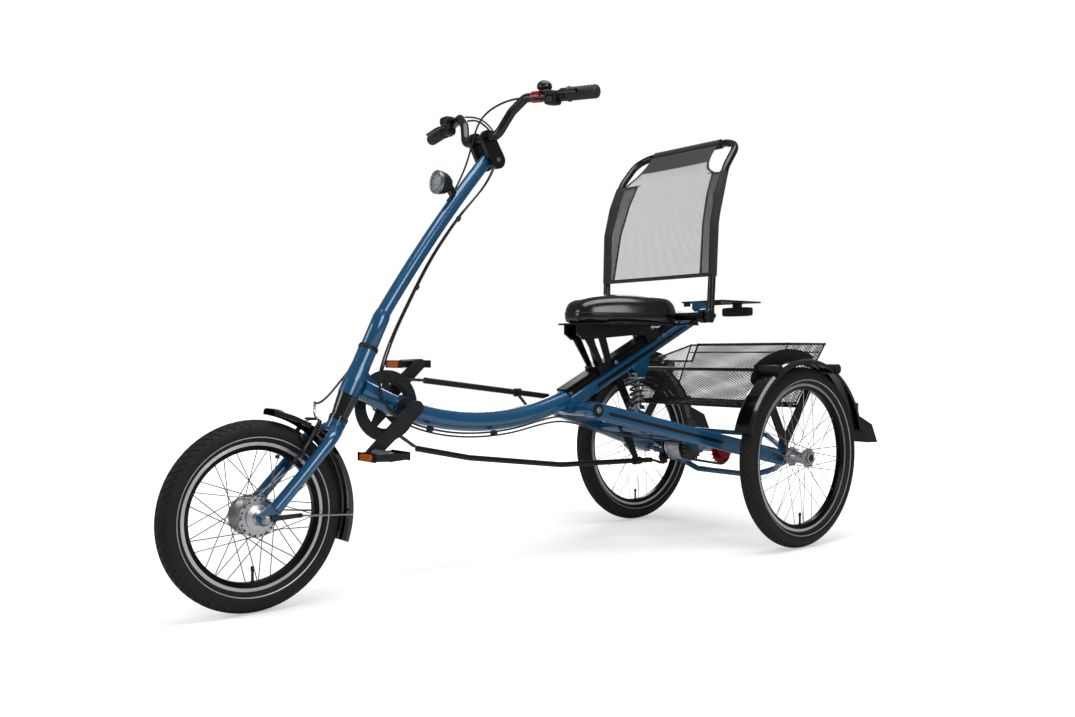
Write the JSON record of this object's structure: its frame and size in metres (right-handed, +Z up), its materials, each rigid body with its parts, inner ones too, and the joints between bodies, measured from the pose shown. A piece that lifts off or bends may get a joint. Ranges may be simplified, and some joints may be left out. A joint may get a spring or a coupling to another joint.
{
  "type": "adult tricycle",
  "caption": "Adult pedal tricycle with a low curved frame, steered front wheel, rear wheels under guards, sliding seat with backrest and a rear basket.",
  "frame": {"origin": "on the ground, at the centre of the bounding box's footprint", "axes": "+Y points to the rear, +X to the rider's left, +Z up"},
  "size_m": [0.7174, 2.0244, 1.1717],
  "materials": {
    "frame_paint": "gloss metallic blue powder coat",
    "black_coating": "satin black coating",
    "black_plastic": "matte moulded black",
    "gloss_plastic": "gloss black",
    "basket_wire": "black coated expanded steel",
    "steel": "plain steel",
    "spring_black": "black coated spring steel",
    "aluminium": "satin",
    "crank_grey": "matte dark grey",
    "red_anodised": "red anodised",
    "reflector_red": "moulded prism reflector",
    "saddle_cover": "smooth black cover",
    "mesh_cloth": "open grey mesh cloth",
    "tyre_rubber": "matte rubber",
    "grip_rubber": "ribbed rubber"
  },
  "bodies": {
    "frame": {"main_frame": "frame_paint", "groove_inlays": "black_coating", "bearing_caps": "black_plastic", "swing_arm": "frame_paint", "rear_axle": "steel", "shock_damper": "steel", "shock_spring": "spring_black", "seat_rack": "black_coating", "seat_rail": "aluminium", "fender_struts": "black_coating", "fender_plates": "black_plastic", "rear_fenders": "gloss_plastic", "mudflaps": "black_plastic", "rear_reflectors": "reflector_red", "bumpers": "black_coating", "crossbars": "black_coating", "basket": "basket_wire", "rear_rack": "black_coating", "tail_light": "black_plastic", "chain_tubes": "black_plastic", "chain_guides": "black_plastic", "gear_hub": "aluminium", "gear_sprockets": "steel", "axle_sprocket": "red_anodised"},
    "steering": {"fork": "frame_paint", "fork_boot": "black_plastic", "front_axle": "steel", "steering_column": "frame_paint", "stem": "black_coating", "handlebar": "black_coating", "grips": "grip_rubber", "brake_levers": "black_coating", "headlight": "black_plastic", "lamp_bracket": "black_coating", "front_fender": "gloss_plastic", "fender_stays": "steel", "front_brake": "black_coating"},
    "front_wheel": {"front_tyre": "tyre_rubber", "front_rim": "aluminium", "front_spokes": "steel", "front_hub": "aluminium"},
    "rear_wheel_left": {"rear_tyre_left": "tyre_rubber", "rear_rim_left": "aluminium", "rear_spokes_left": "steel", "rear_hub_left": "aluminium"},
    "rear_wheel_right": {"rear_tyre_right": "tyre_rubber", "rear_rim_right": "aluminium", "rear_spokes_right": "steel", "rear_hub_right": "aluminium"},
    "crankset": {"cranks": "crank_grey", "chainring": "crank_grey"},
    "pedal_left_body": {"pedal_left": "aluminium"},
    "pedal_right_body": {"pedal_right": "aluminium"},
    "seat": {"seat_carriage": "black_coating", "seat_base": "black_coating", "saddle": "saddle_cover", "backrest_knobs": "black_plastic"},
    "backrest": {"backrest_frame": "black_coating", "backrest_mesh": "mesh_cloth"}
  },
  "joints": [
    {"name": "steer", "type": "hinge", "parent": "frame", "child": "steering", "pos_m": [0, -0.58315, 0.4491], "axis": [0, 0.4349, 0.9005], "range_deg": [-40, 40]},
    {"name": "front_wheel_spin", "type": "hinge", "parent": "steering", "child": "front_wheel", "pos_m": [0, -0.80975, 0.2025], "axis": [1, 0, 0], "continuous": true},
    {"name": "rear_wheel_left_spin", "type": "hinge", "parent": "frame", "child": "rear_wheel_left", "pos_m": [0.3217, 0.66225, 0.253], "axis": [1, 0, 0], "continuous": true},
    {"name": "rear_wheel_right_spin", "type": "hinge", "parent": "frame", "child": "rear_wheel_right", "pos_m": [-0.3217, 0.66225, 0.253], "axis": [1, 0, 0], "continuous": true},
    {"name": "crank_spin", "type": "hinge", "parent": "frame", "child": "crankset", "pos_m": [0, -0.45575, 0.42], "axis": [1, 0, 0], "continuous": true},
    {"name": "pedal_left_spin", "type": "hinge", "parent": "crankset", "child": "pedal_left_body", "pos_m": [0.13, -0.56981, 0.32258], "axis": [1, 0, 0], "continuous": true},
    {"name": "pedal_right_spin", "type": "hinge", "parent": "crankset", "child": "pedal_right_body", "pos_m": [-0.13, -0.34169, 0.51742], "axis": [1, 0, 0], "continuous": true},
    {"name": "seat_slide", "type": "slide", "parent": "frame", "child": "seat", "axis": [0, 0.9026, 0.4305], "range_m": [-0.1, 0.08]},
    {"name": "backrest_tilt", "type": "hinge", "parent": "seat", "child": "backrest", "pos_m": [0, 0.39025, 0.646], "axis": [-1, 0, 0], "range_deg": [-10, 15]}
  ]
}
